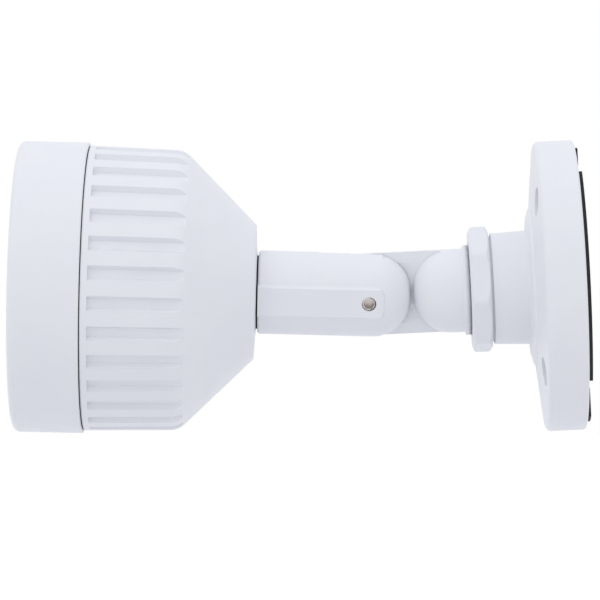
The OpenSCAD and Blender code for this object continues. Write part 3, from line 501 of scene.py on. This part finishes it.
def infrared_leds():
    """Clear domes with a reflector cup, a lead post and a die inside each."""
    dome = [(0, 0.01), (2.8, 0.01), (2.8, 0.9), (2.7, 1), (2.5, 1), *arc(6.1, 2.5, 2.5)]
    cup = [(0, 4.2), (0.95, 4.2), (1.25, 5.3), (1.15, 5.35), (0.5, 4.65), (0, 4.6)]
    die = [(0, 4.6), (0.25, 4.6), (0.25, 4.8), (0, 4.8)]
    domes, frames, dies = bmesh.new(), bmesh.new(), bmesh.new()
    for radius, angles in LED_CIRCLES:
        for angle in angles:
            place = (HEAD @ Matrix.Rotation(math.radians(angle), 4, "Z")
                     @ Matrix.Translation((radius * MM, 0, LED_BOARD_TOP * MM)))
            lathe(domes, dome, place, 32)
            lathe(frames, cup, place, 20)
            for side, top in ((0, 4.25), (1.75, 5.2)):
                post = [(0, 0.1), (0.35, 0.1), (0.35, top), (0, top)]
                lathe(frames, post, place @ Matrix.Translation((0, side * MM, 0)), 4)
            lathe(dies, die, place, 4)
    new_piece("led_domes", domes, "ir_leds", "head", "led_lens")
    new_piece("led_frames", frames, "ir_leds", "head", "steel")
    new_piece("led_dies", dies, "ir_leds", "head", "black_plastic")


def lens():
    """Board lens: a barrel with a retaining ring and stepped baffles, and its first and last glass."""
    outside = [(6, 0), (6, 6.4), (7.1, 6.4), (7.4, 6.7), (7.4, 11.9), (6.9, 12.4)]
    ring_slot = [(6.35, 12.4), (6.3, 12.2), (6.2, 12.2), (6.15, 12.35)]
    retaining_ring = [(5.95, 12.35), (5.75, 12.05), (5.6, 12.05), (5.4, 11.72), (5.25, 11.72), (5.05, 11.4),
                      (4.9, 11.4), (4.75, 11.1), (4.75, 10.9)]
    front_seat = [(5.3, 10.9), (5.3, 9.6), (4.4, 9.6)]
    baffles = [(4.4 - 0.5 * i - d, 9.2 - 0.4 * i) for i in range(5) for d in (0.15, 0.45)]
    inside = [(1.8, 7.4), (4.6, 7), (4.6, 0)]
    turned("lens_barrel_turned", [*outside, *ring_slot, *retaining_ring, *front_seat, *baffles, *inside],
           "lens_barrel", "black_metal")
    hollow = reversed(arc(17.2, -7.2, 4.3)[:-1])
    crown = arc(0.2, 11.8, 4.7)[1:]
    turned("front_lens", [(0, 10.3), *hollow, (5.25, 10), (5.25, 10.7), (4.7, 10.9), *crown],
           "lens_elements", "lens_glass")
    turned("rear_lens", [(0, 0.6), (4.3, 0.6), (4.58, 0.9), (4.58, 1.9), *arc(-6.2, 8.8, 4.3)],
           "lens_elements", "lens_glass")


def octagon_radius(turn):
    """Radius of the lock ring's outline at a turn from the middle of a flat."""
    corner = math.tau / 16
    inner = RING_FLAT_R - RING_CORNER_ROUND
    if RING_FLAT_R * math.tan(abs(turn)) < inner * math.tan(corner):
        return RING_FLAT_R / math.cos(turn)
    centre = inner / math.cos(corner)
    off = corner - abs(turn)
    return centre * math.cos(off) + math.sqrt(RING_CORNER_ROUND ** 2 - (centre * math.sin(off)) ** 2)


def turned_ring():
    """Octagonal lock ring whose corners are turned down at both ends."""
    bottom, top = RING_Z
    steps = [0, 0.04, 0.1, 0.18, 0.28, 0.4, 0.55, 0.72, 0.9, RING_TURNED_H]
    heights = [bottom + s for s in steps] + [top - s for s in reversed(steps)]
    inside = [(RING_LIP_R, top), (RING_LIP_R, RING_LIP_Z), (RING_BORE_R, RING_LIP_Z), (RING_BORE_R, bottom)]
    turns = 8 * RING_COLUMNS
    bm = bmesh.new()
    columns = []
    for i in range(turns):
        turn = i * math.tau / turns
        flat_r = octagon_radius(turn % (math.tau / 8) - math.tau / 16)
        loop = []
        for z in heights:
            end = min(1, min(z - bottom, top - z) / RING_TURNED_H)
            rise = 1 - (1 - end) ** RING_TURNED_CURVE
            limit = RING_END_R + (RING_CORNER_R + RING_TURNED_SLACK - RING_END_R) * rise
            soft = max(0, RING_SOFT_W - abs(flat_r - limit)) / RING_SOFT_W
            loop.append((min(flat_r, limit) - RING_SOFT_DROP * soft * soft, z))
        loop += inside
        angle = RING_CORNER_AT + turn
        columns.append([bm.verts.new((r * math.cos(angle) * MM, -z * MM, r * math.sin(angle) * MM))
                        for r, z in loop])
    for a, b in zip(columns, columns[1:] + columns[:1]):
        for j in range(len(a)):
            bm.faces.new((a[j - 1], a[j], b[j], b[j - 1]))
    bmesh.ops.recalc_face_normals(bm, faces=bm.faces)
    new_piece("lock_ring_turned", bm, "lock_ring", "lock_ring", "white_casting")


turned_ring()
hinge_screw()
infrared_leds()
lens()
blended_arm("pan_knuckle", "pan_arm", WALL_AXIS * DOME_Z * MM, WALL_AXIS)
blended_arm("stem_arm", "tilt_arm", PIVOT, -HEAD_AXIS, panel=True)


# ---- stage ----


def camera_rays(nodes, links):
    """1 for rays that see the background straight, in a mirror or through glass."""
    path = nodes.new("ShaderNodeLightPath")
    total = path.outputs["Is Camera Ray"]
    for kind in ("Is Glossy Ray", "Is Transmission Ray"):
        total = math_node(nodes, links, "MAXIMUM", total, path.outputs[kind])
    return total


def floor():
    """Plain pale floor, white to the camera except where the object's shadow falls."""
    bpy.ops.mesh.primitive_plane_add(size=8, location=(0, 0, CAD_BOX[0].z - FLOOR_DROP))
    plane = bpy.context.object
    plane.name = "floor"
    material, nodes, links, shader = new_material("floor")
    shader.inputs["Base Color"].default_value = (0.8, 0.8, 0.8, 1)
    shader.inputs["Roughness"].default_value = 1
    shader.inputs["Specular IOR Level"].default_value = 0
    shader.inputs["Emission Color"].default_value = (1, 1, 1, 1)
    glow = remap(nodes, links, camera_rays(nodes, links), 0, FLOOR_GLOW, 0, 1)
    links.new(glow, shader.inputs["Emission Strength"])
    plane.data.materials.append(material)


def sky():
    """White behind the object, and an even light with broad soft lights in it."""
    world = bpy.data.worlds.new("studio")
    bpy.context.scene.world = world
    world.use_nodes = True
    nodes, links = world.node_tree.nodes, world.node_tree.links
    soft = nodes["Background"]
    toward = nodes.new("ShaderNodeTexCoord").outputs["Generated"]
    total = AMBIENT
    for direction, strength, tint in SOFT_LIGHTS:
        source = Vector(direction).normalized()
        colour = [strength * part for part in tint]
        facing = vector_math(nodes, links, "DOT_PRODUCT", toward, source).outputs["Value"]
        lobe = math_node(nodes, links, "POWER", math_node(nodes, links, "MAXIMUM", facing, 0), 4)
        total = vector_math(nodes, links, "MULTIPLY_ADD", lobe, colour, total).outputs["Vector"]
    links.new(total, soft.inputs["Color"])
    white = nodes.new("ShaderNodeBackground")
    choose = nodes.new("ShaderNodeMixShader")
    white.inputs["Color"].default_value = (1, 1, 1, 1)
    links.new(camera_rays(nodes, links), choose.inputs["Fac"])
    links.new(soft.outputs["Background"], choose.inputs[1])
    links.new(white.outputs["Background"], choose.inputs[2])
    links.new(choose.outputs["Shader"], nodes["World Output"].inputs["Surface"])


def softbox(name, place, size, power):
    """Large area light at a place, turned to the middle of the object."""
    lamp = bpy.data.lights.new(name, "AREA")
    lamp.size = size
    lamp.energy = power
    light = bpy.data.objects.new(name, lamp)
    bpy.context.scene.collection.objects.link(light)
    light.location = place
    light.rotation_mode = "QUATERNION"
    light.rotation_quaternion = (AIM - Vector(place)).to_track_quat("-Z", "Y")


def photograph_camera():
    """Camera on the photograph's line of sight, with its small roll."""
    data = bpy.data.cameras.new("camera")
    camera = bpy.data.objects.new("camera", data)
    bpy.context.scene.collection.objects.link(camera)
    data.lens = LENS
    data.sensor_width = 36
    place = AIM + Vector((DISTANCE, SIDE_STEP, 0))
    back = (place - AIM).normalized()
    level = Vector((0, 0, 1)).cross(back).normalized()
    right = level * math.cos(ROLL) - back.cross(level) * math.sin(ROLL)
    camera.matrix_world = (Matrix.Translation(place)
                           @ Matrix((right, back.cross(right), back)).transposed().to_4x4())
    data.clip_start, data.clip_end = 0.05, 20
    bpy.context.scene.camera = camera


floor()
sky()
softbox("key", (0.9, -0.5, 1.1), 0.9, KEY_POWER)
photograph_camera()
bpy.context.scene.view_settings.view_transform = "Standard"
